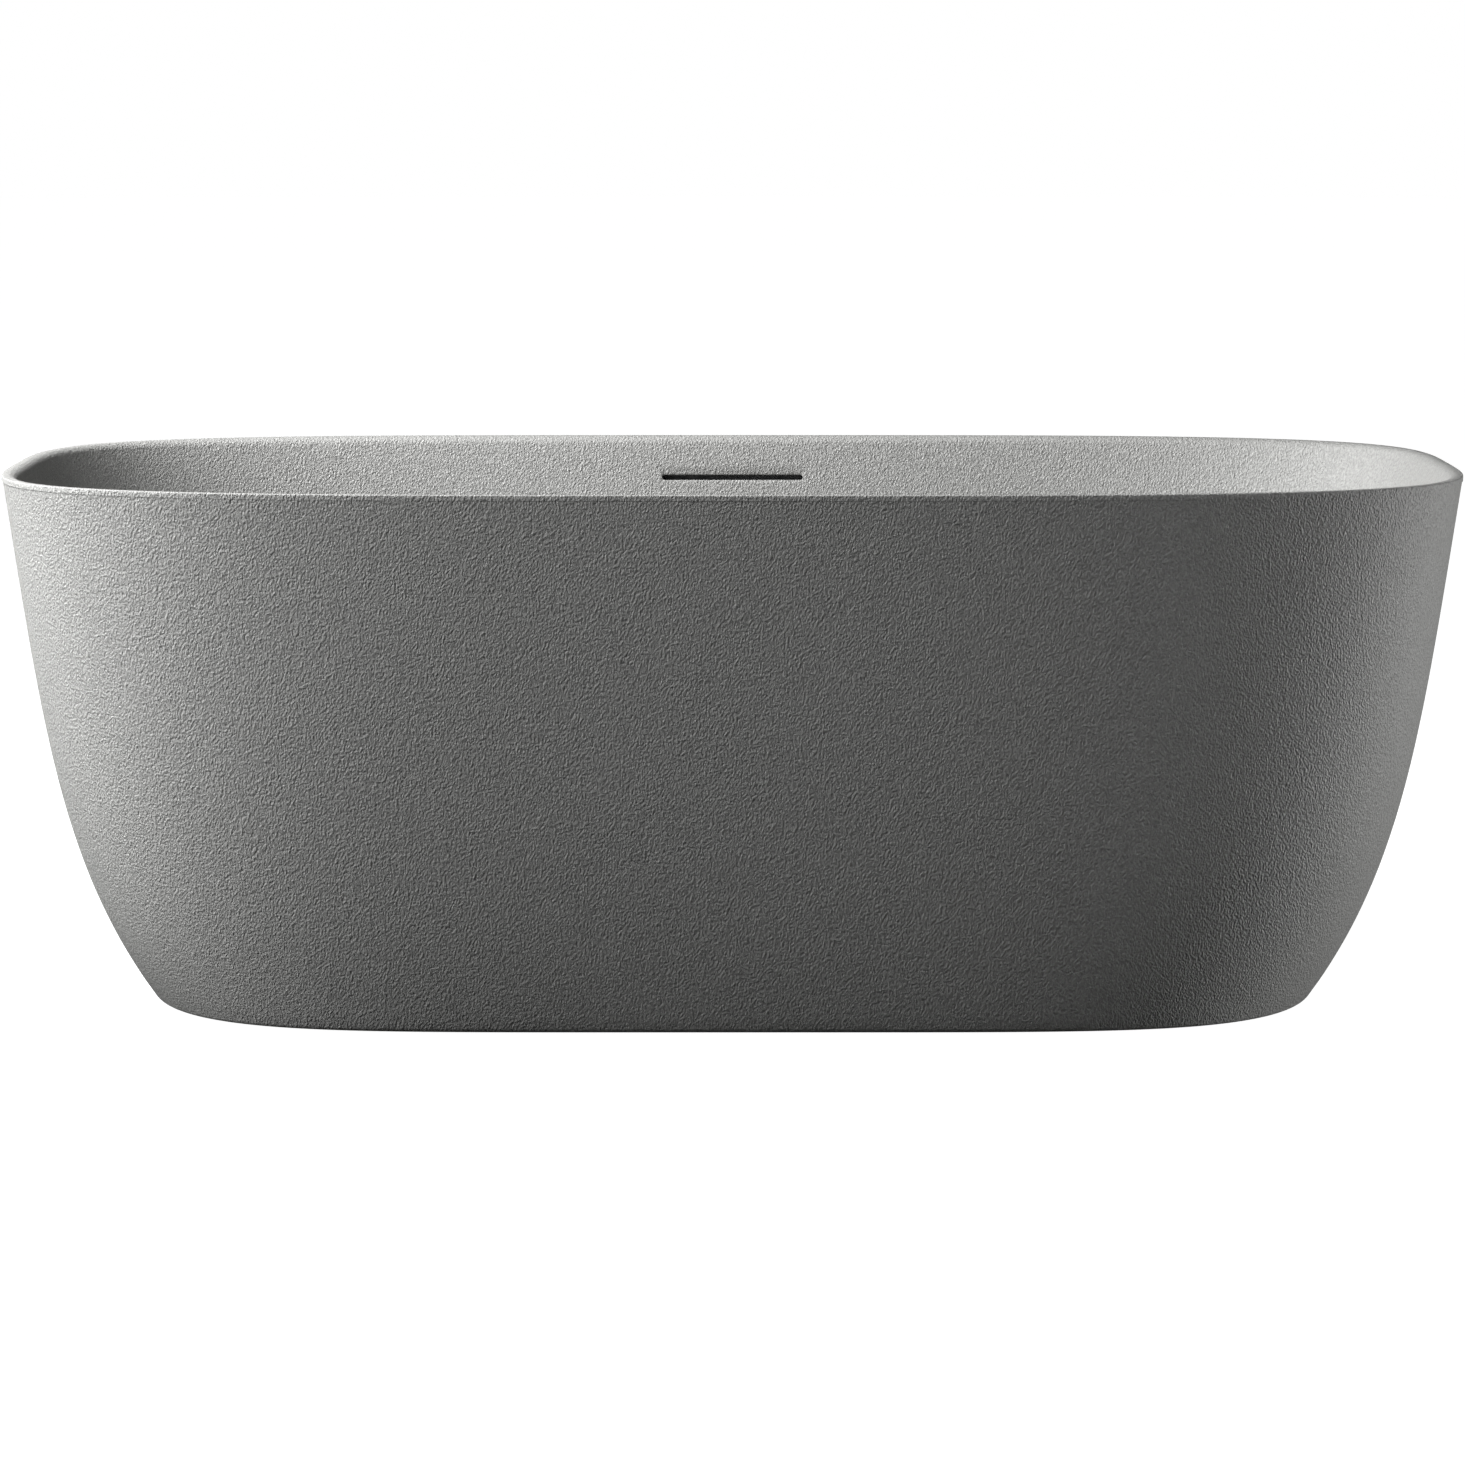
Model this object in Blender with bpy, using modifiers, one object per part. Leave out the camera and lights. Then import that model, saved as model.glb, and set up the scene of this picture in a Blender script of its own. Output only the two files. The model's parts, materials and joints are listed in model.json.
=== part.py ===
"""Freestanding bathtub: a double-walled tub on a levelled frame, with overflow, pop-up waste and trap.

Metres, +Z up. X is the length, -Y the front, +Y the rear wall with the overflow slot.
The origin is on the floor under the middle of the tub.
"""

from math import cos, pi, radians, sin, tan

import bmesh
import bpy
from mathutils import Matrix, Vector

# Overall size
LENGTH = 1.600
WIDTH = 0.750
HEIGHT = 0.580
END_TUCK = 0.152  # how far each end of the base stands in from the rim's
SIDE_TUCK = 0.037  # and each side
BASE_LENGTH = LENGTH - 2 * END_TUCK
BASE_WIDTH = WIDTH - 2 * SIDE_TUCK
SKIRT_LIFT = 0.003  # clear height between the floor and the skirt
RIM_JOINT = 0.001  # joint between the rim's underside and the skirt's outer top edge

# Outlines are superellipses: one exponent for X, one for Y
RIM_POWERS = (3.93, 3.60)
BASE_POWERS = (5.62, 2.64)
FLOOR_POWERS = (3.40, 3.00)
TAPER_STRAIGHT = 0.50  # share of the skirt's taper that is a straight lean
TAPER_POWER = 4.36  # how sharply the rest of it curls in at the base
RING_POINTS = 48

# Basin
SHELL = 0.006
RIM_WIDTH = 0.014
RIM_RADIUS = 0.012
FLOOR_HEIGHT = 0.150
FLOOR_RADIUS = 0.090
END_LEAN = radians(24)
SIDE_LEAN = radians(12)
WALL_ROWS = (0.026, 0.095, 0.220)  # depths below the rim
RECESS_DEPTH = 0.006
RECESS_RADIUS = 0.045
RECESS_SLOPE = 0.015
DRAIN_RADIUS = 0.026

# Skirt
SKIRT_WALL = 0.0045
SKIRT_EDGE_RADIUS = 0.006
SKIRT_FLANGE = 0.025
SKIRT_ROWS = (0.450, 0.330, 0.240, 0.170, 0.120, 0.080, 0.050, 0.027)  # heights
BOND_DEPTH = 0.030
BOND_MARGIN = 0.0007  # between the bead and the shells' faceted walls

# Overflow
SLOT_LENGTH = 0.168
SLOT_HEIGHT = 0.0065
SLOT_DEPTH = 0.0485  # below the rim
OVERFLOW_SEAL = 0.002
OVERFLOW_MARGIN = 0.009  # how far the seal and the channel reach past the slot's ends
OVERFLOW_SEAL_HEIGHT = 0.024
OVERFLOW_SEAL_CORNER = 0.004
OVERFLOW_WINDOW = 0.011
CHANNEL_WALL = 0.0015
CHANNEL_DROP = 0.125  # its lower end, below the rim
CHANNEL_BACK_GAP = 0.0010
SPIGOT_LENGTH = 0.022

# Overflow hose
HOSE_RADIUS = 0.0095
HOSE_WALL = 0.0018
SPIGOT_GAP = 0.001  # between a spigot and the hose's bore, whose sides are flats
HOSE_TO_SKIRT = 0.003
HOSE_BEND = 0.085
CLIP_WALL = 0.0015
CLIP_WIDTH = 0.009

# Waste
SEAL_THICK = 0.0015
FLANGE_RADIUS = 0.036
FLANGE_THICK = 0.003
TAILPIECE_RADIUS = 0.022
TAILPIECE_BORE = 0.0195
TAILPIECE_LENGTH = 0.036
BODY_WALL = 0.0035
BODY_FLOOR = 0.070  # height of the underside of the waste body's cup
TAIL_RADIUS = 0.0175
TAIL_WALL = 0.0025
TAIL_END = 0.030
PORT_HEIGHT = 0.0835
PORT_REACH = 0.052

# Pop-up plug
PLUG_LIFT = 0.010
PLUG_PRESS = 0.0015
CAP_RADIUS = 0.033
CAP_THICK = 0.0035
CAP_CROWN = 0.0015
CAP_GAP = 0.0025  # between the closed cap and the flange
HUB_RADIUS = 0.0185
HUB_LENGTH = 0.009
RING_SECTION = 0.0013
RING_SIDES = 6
STEM_RADIUS = 0.003
STEM_FOOT_RADIUS = 0.0055
STEM_FOOT_THICK = 0.002
LATCH_ROOM = 0.005  # between the stem's foot, clicked open, and the cartridge's lid
CROSS_BAR_DEPTH = 0.022  # below the flange
CARTRIDGE_RADIUS = 0.008
CARTRIDGE_STEP = 0.0022  # how far its collar stands out
CARTRIDGE_RISE = 0.010  # above the cross bars
CARTRIDGE_BORE = 0.006
CARTRIDGE_LENGTH = 0.037
CARTRIDGE_LID = 0.0025
SPRING_WIRE = 0.0006
SPRING_TURNS = 5

# Trap
TRAP_CLEAR = 0.012  # above the floor
TRAP_RADIUS = 0.044
TRAP_WALL = 0.0025
TRAP_SIDES = 24  # the same for all, so that facing facets line up
COLLAR_WALL = 0.005
COLLAR_HEIGHT = 0.007
PIPE_RADIUS = 0.020
PIPE_WALL = 0.002
PIPE_END = 0.300
SOCKET_WALL = 0.0032
SOCKET_REACH = 0.080
SOCKET_GRIP = 0.025
NUT_WALL = 0.0045
NUT_LIP = 0.003
NUT_CLEAR = 0.001

# Frame and board
BOARD_THICK = 0.015
BOARD_SETBACK = 0.030
BOARD_CORNER = 0.040
TUBE = 0.030
TUBE_WALL = 0.002
RAIL_SPACING = 0.300
RAIL_SETBACK = 0.010
CROSS_SETBACK = 0.110

# Skirt fixings
BLOCK_DEPTH = 0.030
BLOCK_LENGTH = 0.060
BLOCK_HEIGHT = 0.045
BLOCK_GLUE = 0.0008  # bond line between a block and the skirt
BRACKET_THICK = 0.003
BRACKET_LEG = 0.062
BRACKET_RISE = 0.034
SCREW_RADIUS = 0.002
SCREW_HEAD = 0.0042
SCREW_AT = 0.6  # of the bracket's rise
SCREW_LENGTH = 0.018

# Levelling feet, M12
STUD_RADIUS = 0.006
STUD_SEAT = 0.004
STUD_ABOVE_NUT = 0.016
NUT_ACROSS = 0.019
WELD_NUT = 0.010
LOCK_NUT = 0.006
WRENCH_ACROSS = 0.015
WRENCH_HEIGHT = 0.005
PAD_RADIUS = 0.0225
PAD_EDGE = 0.004
PAD_HEIGHT = 0.014
PAD_TOP_RADIUS = 0.012
FOOT_SETBACK = 0.036

# Clearances
GAP = 0.0003  # between pieces that touch
BORE_GAP = 0.0003  # round a shaft in a bore
CUT = 0.010  # how far a cutter runs past what it cuts
WELD = 0.00005  # points closer than this are one

# Levels that several pieces share
RECESS_TOP = FLOOR_HEIGHT - RECESS_DEPTH
RECESS_UNDER = RECESS_TOP - SHELL
BOARD_TOP = FLOOR_HEIGHT - SHELL - GAP
BOARD_UNDER = BOARD_TOP - BOARD_THICK
RAIL_TOP = BOARD_UNDER - GAP
RAIL_UNDER = RAIL_TOP - TUBE
CROSS_TOP = RAIL_UNDER - GAP
CROSS_UNDER = CROSS_TOP - TUBE
FLANGE_UNDER = RECESS_TOP + GAP + SEAL_THICK + GAP
FLANGE_TOP = FLANGE_UNDER + FLANGE_THICK
BODY_TOP = RECESS_UNDER - GAP - SEAL_THICK - GAP
CAP_UNDER = FLANGE_TOP + CAP_GAP
HUB_UNDER = CAP_UNDER - HUB_LENGTH

# Superellipse corners that the basin's straight walls would make with its floor
CORNER_HALF_X = LENGTH / 2 - RIM_WIDTH - tan(END_LEAN) * (HEIGHT - FLOOR_HEIGHT)
CORNER_HALF_Y = WIDTH / 2 - RIM_WIDTH - tan(SIDE_LEAN) * (HEIGHT - FLOOR_HEIGHT)
FLAT_HALF_X = CORNER_HALF_X - FLOOR_RADIUS * tan((pi / 2 - END_LEAN) / 2)
FLAT_HALF_Y = CORNER_HALF_Y - FLOOR_RADIUS * tan((pi / 2 - SIDE_LEAN) / 2)

SIDES = {"left": -1, "right": 1}
ENDS = {"front": -1, "rear": 1}


# ---------------------------------------------------------------- scene and helpers


def clear_scene():
    for obj in list(bpy.data.objects):
        bpy.data.objects.remove(obj, do_unlink=True)


def new_collection(name):
    collection = bpy.data.collections.new(name)
    bpy.context.scene.collection.children.link(collection)
    return collection


def material(name, colour, roughness, metallic=0.0):
    made = bpy.data.materials.new(name)
    made.use_nodes = True
    shader = made.node_tree.nodes["Principled BSDF"]
    shader.inputs["Base Color"].default_value = (*colour, 1)
    shader.inputs["Roughness"].default_value = roughness
    shader.inputs["Metallic"].default_value = metallic
    return made


def object_from(name, mesh, finish, location=(0, 0, 0), rotation=(0, 0, 0)):
    """A part of the tub, or a cutter where finish is None."""
    obj = bpy.data.objects.new(name, mesh)
    obj.location = location
    obj.rotation_euler = rotation
    if finish is None:
        cutters.objects.link(obj)
        obj.hide_render = True
        obj.display_type = "WIRE"
        return obj
    tub.objects.link(obj)
    if not mesh.materials:
        mesh.materials.append(finish)
    return obj


def mesh_from(name, bm, smooth=False):
    mesh = bpy.data.meshes.new(name)
    bm.to_mesh(mesh)
    bm.free()
    if smooth:
        mesh.shade_smooth()
        mesh.set_sharp_from_angle(angle=radians(35))
    return mesh


def box(name, low, high, finish):
    """A block between two corners, with its origin at its middle."""
    low = Vector(low)
    high = Vector(high)
    bm = bmesh.new()
    bmesh.ops.create_cube(bm, size=1.0)
    bmesh.ops.scale(bm, vec=high - low, verts=bm.verts)
    return object_from(name, mesh_from(name, bm), finish, (low + high) / 2)


def cylinder(name, radius, length, centre, finish, axis="Z", segments=16):
    bm = bmesh.new()
    bmesh.ops.create_cone(
        bm, cap_ends=True, segments=segments, radius1=radius, radius2=radius, depth=length
    )
    turn = {"X": (0, pi / 2, 0), "Y": (-pi / 2, 0, 0), "Z": (0, 0, 0)}[axis]
    return object_from(name, mesh_from(name, bm, True), finish, centre, turn)


def hexagon(name, across, length, centre, finish):
    radius = across / 2 / cos(pi / 6)
    return cylinder(name, radius, length, centre, finish, segments=6)


def turned(name, profile, finish, location=(0, 0, 0), rotation=(0, 0, 0), steps=20):
    """A turned piece: a profile of (radius, height) points that runs down its outer side.

    The profile is a closed loop, unless it starts and ends on the axis.
    """
    bm = bmesh.new()
    points = [bm.verts.new((radius, 0, height)) for radius, height in profile]
    on_axis = profile[0][0] == 0 and profile[-1][0] == 0
    following = points[1:] if on_axis else points[1:] + points[:1]
    for start, end in zip(points, following):
        bm.edges.new((start, end))
    obj = object_from(name, mesh_from(name, bm), finish, location, rotation)
    screw = obj.modifiers.new("Turn", "SCREW")
    screw.steps = steps
    screw.render_steps = steps
    screw.use_merge_vertices = True
    screw.merge_threshold = WELD
    screw.use_smooth_shade = True
    return obj


def ring(name, inner, outer, low, high, finish, location=(0, 0, 0), rotation=(0, 0, 0), steps=20):
    profile = [(inner, high), (outer, high), (outer, low), (inner, low)]
    return turned(name, profile, finish, location, rotation, steps)


def boolean(obj, other, operation):
    modifier = obj.modifiers.new(operation.title(), "BOOLEAN")
    modifier.operation = operation
    modifier.object = other
    modifier.solver = "EXACT"


def cut(obj, cutter):
    boolean(obj, cutter, "DIFFERENCE")


def join(obj, other):
    boolean(obj, other, "UNION")


def plate(name, outline, low, high, finish):
    """A flat outline in XY, extruded from one height to another."""
    curve = bpy.data.curves.new(name, "CURVE")
    curve.dimensions = "2D"
    curve.fill_mode = "BOTH"
    curve.extrude = (high - low) / 2
    spline = curve.splines.new("POLY")
    spline.points.add(len(outline) - 1)
    for point, (x, y) in zip(spline.points, outline):
        point.co = (x, y, 0, 1)
    spline.use_cyclic_u = True
    return curve_to_mesh(name, curve, finish, Vector((0, 0, (low + high) / 2)))


def curve_to_mesh(name, curve, finish, location, rotation=(0, 0, 0)):
    """The curve's shape as a mesh with its caps welded, so that it can be cut."""
    guide = bpy.data.objects.new(name + "_guide", curve)
    cutters.objects.link(guide)
    bpy.context.view_layer.update()
    shape = guide.evaluated_get(bpy.context.evaluated_depsgraph_get())
    bm = bmesh.new()
    bm.from_mesh(bpy.data.meshes.new_from_object(shape))
    bmesh.ops.remove_doubles(bm, verts=bm.verts, dist=WELD)
    bpy.data.objects.remove(guide, do_unlink=True)
    return object_from(name, mesh_from(name, bm, True), finish, location, rotation)


def rounded_rectangle(half_x, half_y, radius, steps=5):
    """The corners in turn, each a quarter circle."""
    outline = []
    for corner in range(4):
        centre_x = (half_x - radius) * (1 if corner in (0, 3) else -1)
        centre_y = (half_y - radius) * (1 if corner in (0, 1) else -1)
        for step in range(steps + 1):
            angle = (corner + step / steps) * pi / 2
            outline.append((centre_x + radius * cos(angle), centre_y + radius * sin(angle)))
    return outline


def smooth_route(points, steps):
    """Points along a Catmull-Rom curve through the given ones."""
    padded = [2 * points[0] - points[1], *points, 2 * points[-1] - points[-2]]
    route = []
    for before, start, end, after in zip(padded, padded[1:], padded[2:], padded[3:]):
        for step in range(steps):
            t = step / steps
            route.append(
                0.5 * (2 * start + (end - before) * t)
                + 0.5 * (2 * before - 5 * start + 4 * end - after) * t**2
                + 0.5 * (3 * start - before - 3 * end + after) * t**3
            )
    return [*route, points[-1]]


def wire(name, route, radius, resolution, caps, finish):
    """A round bar along a route, or the open skin of a tube where caps is False."""
    curve = bpy.data.curves.new(name, "CURVE")
    curve.dimensions = "3D"
    curve.bevel_depth = radius
    curve.bevel_resolution = resolution
    curve.use_fill_caps = caps
    spline = curve.splines.new("POLY")
    spline.points.add(len(route) - 1)
    for point, place in zip(spline.points, route):
        point.co = (*place, 1)
    return curve_to_mesh(name, curve, finish, (0, 0, 0))


# ---------------------------------------------------------------- outlines of the shells


def power(value, exponent):
    return abs(value) ** exponent * (1 if value >= 0 else -1)


def outline_point(angle, half_x, half_y, powers, height):
    x = half_x * power(cos(angle), 2 / powers[0])
    y = half_y * power(sin(angle), 2 / powers[1])
    return Vector((x, y, height))


def outline_normal(angle, half_x, half_y, powers):
    x = power(cos(angle), 2 - 2 / powers[0]) / half_x
    y = power(sin(angle), 2 - 2 / powers[1]) / half_y
    return Vector((x, y, 0)).normalized()


def skirt_size(height):
    """Half length, half width and powers of the tub's outside at a height."""
    share = (HEIGHT - height) / (HEIGHT - SKIRT_LIFT)
    taper = TAPER_STRAIGHT * share + (1 - TAPER_STRAIGHT) * share**TAPER_POWER
    half_x = (LENGTH - taper * (LENGTH - BASE_LENGTH)) / 2
    half_y = (WIDTH - taper * (WIDTH - BASE_WIDTH)) / 2
    powers = [rim + share * (base - rim) for rim, base in zip(RIM_POWERS, BASE_POWERS)]
    return half_x, half_y, powers


def skirt_point(angle, height, inset=0.0):
    size = skirt_size(height)
    return outline_point(angle, *size, height) - inset * outline_normal(angle, *size)


def skirt_inside(x, height):
    """How far back the skirt's inner face is, at a place along the tub."""
    half_x, half_y, powers = skirt_size(height)
    return half_y * (1 - abs(x / half_x) ** powers[0]) ** (1 / powers[1]) - SKIRT_WALL


def wall_back(depth):
    """How far back the basin's hidden face is, in the middle of its rear wall."""
    return WIDTH / 2 - RIM_WIDTH - tan(SIDE_LEAN) * depth + SHELL / cos(SIDE_LEAN)


def fillet(before, corner, after, radius, steps):
    """An arc that touches both legs of a corner."""
    to_start = (before - corner).normalized()
    to_end = (after - corner).normalized()
    half = to_start.angle(to_end) / 2
    centre = corner + (to_start + to_end).normalized() * radius / sin(half)
    start = corner + to_start * radius / tan(half) - centre
    end = corner + to_end * radius / tan(half) - centre
    sweep = start.angle(end)
    arc = []
    for step in range(steps + 1):
        share = step / steps
        blend = start * sin((1 - share) * sweep) + end * sin(share * sweep)
        arc.append(centre + blend / sin(sweep))
    return arc


def loft(name, sections, finish, wall):
    """An open skin through one section per angle, made solid towards its hidden side."""
    bm = bmesh.new()
    rows = [[bm.verts.new(point) for point in section] for section in sections]
    for one, other in zip(rows, rows[1:] + rows[:1]):
        for low in range(len(one) - 1):
            bm.faces.new((one[low], one[low + 1], other[low + 1], other[low]))
    obj = object_from(name, mesh_from(name, bm, True), finish)
    solid = obj.modifiers.new("Wall", "SOLIDIFY")
    solid.thickness = wall
    solid.offset = -1
    solid.use_even_offset = True
    return obj


def ring_angles():
    return [2 * pi * step / RING_POINTS for step in range(RING_POINTS)]


# ---------------------------------------------------------------- shells


def rim_corner(angle, inset=RIM_WIDTH, height=HEIGHT):
    return skirt_point(angle, HEIGHT, inset).xy.to_3d() + Vector((0, 0, height))


def floor_corner(angle):
    return outline_point(angle, CORNER_HALF_X, CORNER_HALF_Y, FLOOR_POWERS, FLOOR_HEIGHT)


def basin_section(angle):
    """From the rim's outer edge over the rim, down the wall and across the floor to the drain."""
    edge = skirt_point(angle, HEIGHT)
    top = rim_corner(angle)
    bottom = floor_corner(angle)
    way_down = (bottom - top) / (HEIGHT - FLOOR_HEIGHT)
    around = Vector((cos(angle), sin(angle), 0))
    drain_lip = around * (RECESS_RADIUS + RECESS_SLOPE) + Vector((0, 0, FLOOR_HEIGHT))
    section = [edge]
    section += fillet(edge, top, bottom, RIM_RADIUS, 4)
    section += [top + way_down * depth for depth in WALL_ROWS]
    section += fillet(top, bottom, Vector((0, 0, FLOOR_HEIGHT)), FLOOR_RADIUS, 5)
    section.append((section[-1] + drain_lip) / 2)
    section.append(drain_lip)
    section.append(around * RECESS_RADIUS + Vector((0, 0, RECESS_TOP)))
    section.append(around * DRAIN_RADIUS + Vector((0, 0, RECESS_TOP)))
    return section


def slot_centre():
    """The middle of the slot on the basin's visible face."""
    y = WIDTH / 2 - RIM_WIDTH - tan(SIDE_LEAN) * SLOT_DEPTH
    return Vector((0, y, HEIGHT - SLOT_DEPTH))


def slot_cutter(name, length, height, reach):
    """A flat bar with round ends, which runs along Y through the rear wall."""
    outline = rounded_rectangle(length / 2, height / 2, height / 2 - GAP, 4)
    cutter = plate(name, outline, -reach, reach, None)
    cutter.rotation_euler = (pi / 2, 0, 0)
    cutter.location = slot_centre() + Vector((0, SHELL / 2, 0))
    return cutter


def make_basin():
    sections = [basin_section(angle)[::-1] for angle in ring_angles()]
    basin = loft("basin", sections, stone_grey, SHELL)
    cut(basin, slot_cutter("slot_cutter", SLOT_LENGTH, SLOT_HEIGHT, 2 * SHELL))


def skirt_section(angle):
    """Down the outside from under the rim, round the bottom edge and back in."""
    foot = skirt_point(angle, SKIRT_LIFT)
    flange = skirt_point(angle, SKIRT_LIFT, SKIRT_FLANGE)
    rows = [HEIGHT - SHELL - RIM_JOINT]
    rows += [height for height in SKIRT_ROWS if height < rows[0] - SHELL]
    section = [skirt_point(angle, height) for height in rows]
    section += fillet(section[-1], foot, flange, SKIRT_EDGE_RADIUS, 3)
    section.append(flange)
    return section


def make_skirt():
    loft("skirt", [skirt_section(angle) for angle in ring_angles()], stone_grey, SKIRT_WALL)


def bond_section(angle):
    """The bead's outline between the skirt's inner face and the basin's hidden face."""
    away = outline_normal(angle, *skirt_size(HEIGHT))
    across = rim_corner(angle).xy.to_3d() - floor_corner(angle).xy.to_3d()
    lean = across.dot(away) / (HEIGHT - FLOOR_HEIGHT)
    top = HEIGHT - RIM_RADIUS
    low = HEIGHT - BOND_DEPTH
    hidden = RIM_WIDTH - SHELL * (1 + lean**2) ** 0.5 - 2 * BOND_MARGIN
    outer = SKIRT_WALL + BOND_MARGIN
    return [
        rim_corner(angle, hidden + lean * RIM_RADIUS, top),
        skirt_point(angle, top, outer),
        skirt_point(angle, low, outer),
        rim_corner(angle, hidden + lean * BOND_DEPTH, low),
    ]


def make_rim_bond():
    bm = bmesh.new()
    loops = [[bm.verts.new(point) for point in bond_section(angle)] for angle in ring_angles()]
    for one, other in zip(loops, loops[1:] + loops[:1]):
        for side in range(4):
            after = (side + 1) % 4
            bm.faces.new((one[side], one[after], other[after], other[side]))
    object_from("rim_bond", mesh_from("rim_bond", bm, True), bond_white)


# ---------------------------------------------------------------- board and frame


def make_floor_board():
    half_x = FLAT_HALF_X - BOARD_SETBACK
    half_y = FLAT_HALF_Y - BOARD_SETBACK / 2
    outline = rounded_rectangle(half_x, half_y, BOARD_CORNER)
    board = plate("floor_board", outline, BOARD_UNDER, BOARD_TOP, board_wood)
    hole = RECESS_RADIUS + RECESS_SLOPE + SHELL
    cut(board, cylinder("board_hole", hole, 4 * BOARD_THICK, (0, 0, BOARD_TOP), None, "Z", 24))


def square_tube(name, centre, length, along):
    """An open-ended square tube along X or Y."""
    half = Vector((TUBE, TUBE, TUBE)) / 2
    bore = half - Vector((TUBE_WALL,) * 3)
    half[along] = length / 2
    bore[along] = length / 2 + CUT
    tube = box(name, centre - half, centre + half, galvanised)
    cut(tube, box(name + "_bore", centre - bore, centre + bore, None))
    return tube


def make_frame():
    rail_length = 2 * (FLAT_HALF_X - RAIL_SETBACK)
    for end, way in ENDS.items():
        centre = Vector((0, way * RAIL_SPACING / 2, RAIL_TOP - TUBE / 2))
        square_tube(f"frame_rail_{end}", centre, rail_length, 0)
    for side, way in SIDES.items():
        centre = Vector((way * CROSS_X, 0, CROSS_TOP - TUBE / 2))
        tube = square_tube(f"cross_tube_{side}", centre, 2 * CROSS_HALF, 1)
        for end, back in ENDS.items():
            hole = (way * CROSS_X, back * FOOT_Y, CROSS_UNDER)
            radius = STUD_RADIUS + 2 * BORE_GAP
            cut(tube, cylinder(f"stud_hole_{side}_{end}", radius, 4 * TUBE_WALL, hole, None))


# ---------------------------------------------------------------- skirt fixings


def make_skirt_space():
    """The space inside the skirt, as a cutter that shapes the blocks bonded to it."""
    bm = bmesh.new()
    heights = [BLOCK_TOP + CUT, *[h for h in SKIRT_ROWS if SKIRT_EDGE_RADIUS < h < BLOCK_TOP]]
    rows = []
    for height in heights:
        ring_row = [
            bm.verts.new(skirt_point(angle, height, SKIRT_WALL + BLOCK_GLUE))
            for angle in ring_angles()
        ]
        rows.append(ring_row)
    for upper, lower in zip(rows, rows[1:]):
        for one in range(RING_POINTS):
            other = (one + 1) % RING_POINTS
            bm.faces.new((upper[one], lower[one], lower[other], upper[other]))
    bm.faces.new(rows[0])
    bm.faces.new(rows[-1][::-1])
    return object_from("skirt_space", mesh_from("skirt_space", bm), None)


def make_skirt_fixings():
    space = make_skirt_space()
    for side, way in SIDES.items():
        for end, back in ENDS.items():
            make_skirt_fixing(f"{side}_{end}", way * CROSS_X, back, space)


def make_skirt_fixing(where, x, back, space):
    """A wooden block on the skirt's inner face, and the angle bracket that holds it to the frame."""
    leg = BRACKET_Y
    face = leg + BRACKET_THICK + GAP
    block = box(
        f"skirt_block_{where}",
        (x - BLOCK_LENGTH / 2, min(back * face, back * (face + 2 * BLOCK_DEPTH)), BLOCK_LOW),
        (x + BLOCK_LENGTH / 2, max(back * face, back * (face + 2 * BLOCK_DEPTH)), BLOCK_TOP),
        block_wood,
    )
    boolean(block, space, "INTERSECT")
    screw_height = CROSS_TOP + BRACKET_RISE * SCREW_AT
    middle = Vector((x, back * leg, screw_height))
    length = 2 * SCREW_LENGTH
    radius = SCREW_RADIUS + BORE_GAP
    cutter = cylinder(f"screw_hole_{where}", radius, length, middle, None, "Y", 12)
    cut(block, cutter)

    low = CROSS_TOP + GAP
    half = TUBE / 2
    foot_low, foot_high = sorted((back * (leg - BRACKET_LEG), back * (leg + BRACKET_THICK)))
    bracket = box(
        f"skirt_bracket_{where}",
        (x - half, foot_low, low),
        (x + half, foot_high, low + BRACKET_THICK),
        galvanised,
    )
    leg_low, leg_high = sorted((back * leg, back * (leg + BRACKET_THICK)))
    riser = box(
        f"bracket_riser_{where}",
        (x - half, leg_low, low),
        (x + half, leg_high, low + BRACKET_RISE),
        None,
    )
    join(bracket, riser)
    cut(bracket, cutter)
    make_bracket_screw(f"bracket_screw_{where}", middle, back)


def make_bracket_screw(name, middle, back):
    """A pan-head screw through the bracket into the block."""
    reach = SCREW_LENGTH - 2 * GAP
    profile = [
        (0, SCREW_HEAD * 0.6),
        (SCREW_HEAD * 0.6, SCREW_HEAD * 0.55),
        (SCREW_HEAD, SCREW_HEAD * 0.2),
        (SCREW_HEAD, GAP),
        (SCREW_RADIUS, GAP),
        (SCREW_RADIUS, -reach),
        (0, -reach),
    ]
    turned(name, profile, zinc, middle, (back * pi / 2, 0, 0), 12)


# ---------------------------------------------------------------- levelling feet


def make_nut(name, x, y, low, height):
    nut = hexagon(name, NUT_ACROSS, height, (x, y, low + height / 2), zinc)
    bore = (x, y, low + height / 2)
    cut(nut, cylinder(name + "_bore", STUD_RADIUS + BORE_GAP, 3 * height, bore, None))


def make_pad(name, x, y):
    socket = STUD_RADIUS + BORE_GAP
    profile = [
        (0, STUD_SEAT),
        (socket, STUD_SEAT),
        (socket, PAD_HEIGHT),
        (PAD_TOP_RADIUS, PAD_HEIGHT),
        (PAD_RADIUS, PAD_EDGE),
        (PAD_RADIUS, 0),
        (0, 0),
    ]
    turned(name, profile, black_plastic, (x, y, 0), steps=20)


def make_stud(name, x, y):
    """A threaded stud with a wrench collar just above the pad."""
    low = STUD_SEAT + GAP
    high = CROSS_UNDER + STUD_ABOVE_NUT
    stud = cylinder(name, STUD_RADIUS, high - low, (x, y, (low + high) / 2), zinc)
    collar_middle = PAD_HEIGHT + 2 * GAP + WRENCH_HEIGHT / 2
    collar = hexagon(name + "_collar", WRENCH_ACROSS, WRENCH_HEIGHT, (x, y, collar_middle), None)
    join(stud, collar)


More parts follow.
